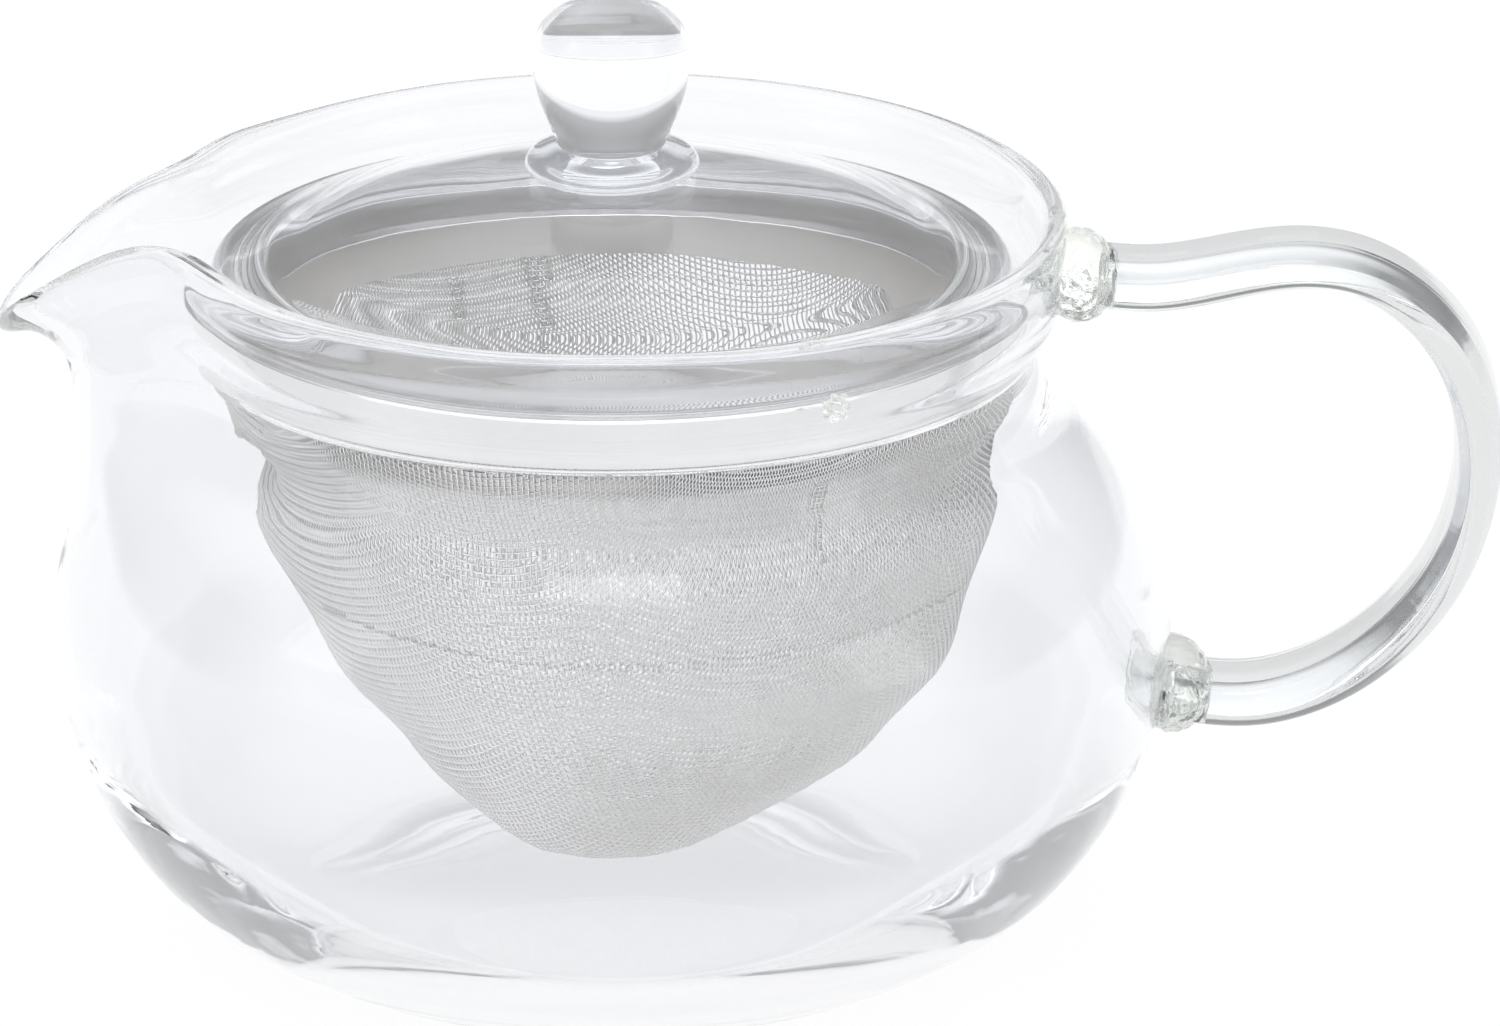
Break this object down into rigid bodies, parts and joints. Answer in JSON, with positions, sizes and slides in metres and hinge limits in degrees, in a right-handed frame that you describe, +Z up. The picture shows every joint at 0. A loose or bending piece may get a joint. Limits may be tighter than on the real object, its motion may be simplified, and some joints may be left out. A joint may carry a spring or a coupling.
{
  "type": "glass teapot with infuser",
  "caption": "Round blown-glass teapot with a drawn pouring lip, loop handle, lift-off glass lid with ball knob, and a woven steel infuser basket hanging inside",
  "frame": {"origin": "centre of the flat base, on the pot's axis", "axes": "Z up, handle along +X, pouring lip along -X"},
  "size_m": [0.1611, 0.1198, 0.1037],
  "materials": {
    "clear_glass": "clear, fire polished",
    "melted_glass": "clear, wavy where it was melted on",
    "polished_steel": "polished",
    "satin_steel": "satin",
    "woven_steel": "fine woven wire"
  },
  "bodies": {
    "pot": {"pot_bowl": "clear_glass", "pot_collar": "clear_glass", "pouring_lip": "clear_glass", "handle_loop": "clear_glass", "handle_upper_weld": "melted_glass", "handle_lower_weld": "melted_glass", "lid_stop_nub": "melted_glass"},
    "infuser": {"infuser_rim": "polished_steel", "infuser_band": "satin_steel", "band_spot_welds": "satin_steel", "mesh_basket": "woven_steel"},
    "lid": {"lid_dome": "clear_glass", "lid_knob_foot": "clear_glass", "lid_knob": "clear_glass"}
  },
  "joints": [
    {"name": "infuser_lift", "type": "slide", "parent": "pot", "child": "infuser", "axis": [0, 0, 1], "range_m": [0, 0.08]},
    {"name": "lid_lift", "type": "slide", "parent": "infuser", "child": "lid", "axis": [0, 0, 1], "range_m": [0, 0.06]}
  ]
}
